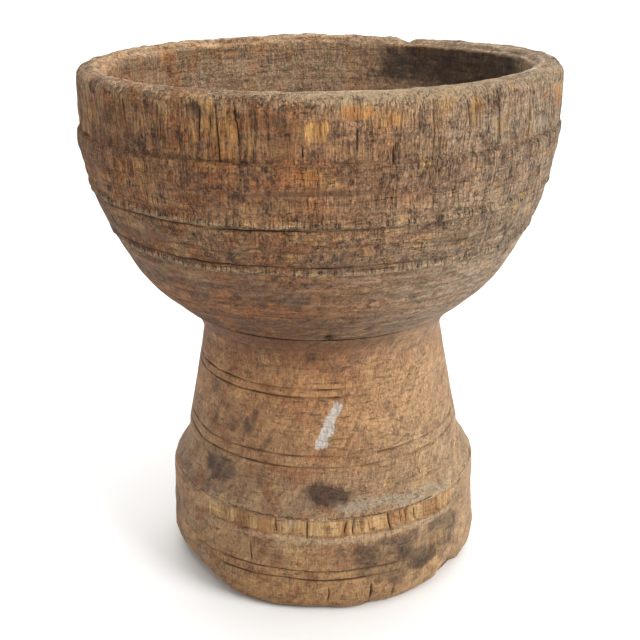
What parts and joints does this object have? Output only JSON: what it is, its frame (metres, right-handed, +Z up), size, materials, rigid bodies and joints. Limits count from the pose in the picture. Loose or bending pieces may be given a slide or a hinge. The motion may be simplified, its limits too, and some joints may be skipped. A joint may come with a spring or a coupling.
{
  "type": "communion chalice",
  "caption": "Turned wooden communion cup: a deep round bowl with beads and a banded rim, tenoned into a thick tapered stem on a drum foot.",
  "frame": {"origin": "middle of the foot's underside, on the surface that the cup stands on", "axes": "+Z up along the axis that the cup was turned on; -Y towards the front, where the pale scar on the stem is"},
  "size_m": [0.144, 0.144, 0.162],
  "materials": {
    "stem_wood": "worn bare turned hardwood, warm brown, rubbed smooth on the stem and split along the grain on the foot",
    "bowl_wood": "weathered grey-brown turned hardwood, fibrous and cracked, with paler wood showing where it has flaked",
    "wedge_wood": "clean split hardwood, unfinished"
  },
  "bodies": {
    "root": {"pedestal": "stem_wood", "bowl": "bowl_wood", "tenon_wedge": "wedge_wood"}
  },
  "joints": []
}
